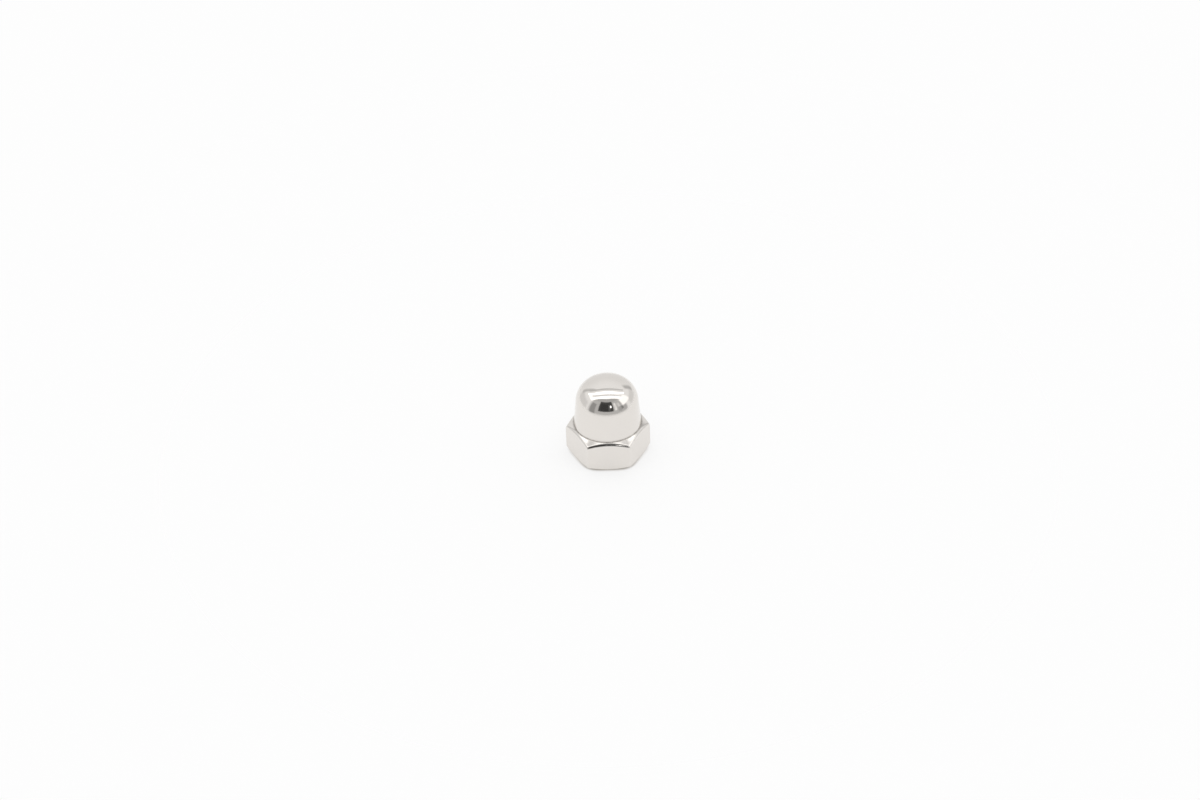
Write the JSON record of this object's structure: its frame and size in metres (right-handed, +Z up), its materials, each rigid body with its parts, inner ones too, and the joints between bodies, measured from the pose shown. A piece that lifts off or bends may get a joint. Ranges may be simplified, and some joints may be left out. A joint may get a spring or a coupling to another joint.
{
  "type": "domed cap nut",
  "caption": "Hexagon nut with a closed, high dome: a blind threaded hole screws onto a bolt or stud and the dome covers its end.",
  "frame": {"origin": "centre of the flat bearing face, on the thread axis", "axes": "+Z up the thread axis towards the top of the dome; two of the six flats face -Y and +Y, two corners point along -X and +X"},
  "size_m": [0.015, 0.013, 0.015],
  "materials": {
    "polished_steel": "polished stainless steel, faintly warm, mirror-like outside and as tapped in the bore"
  },
  "bodies": {
    "root": {"cap_nut": "polished_steel"}
  },
  "joints": []
}
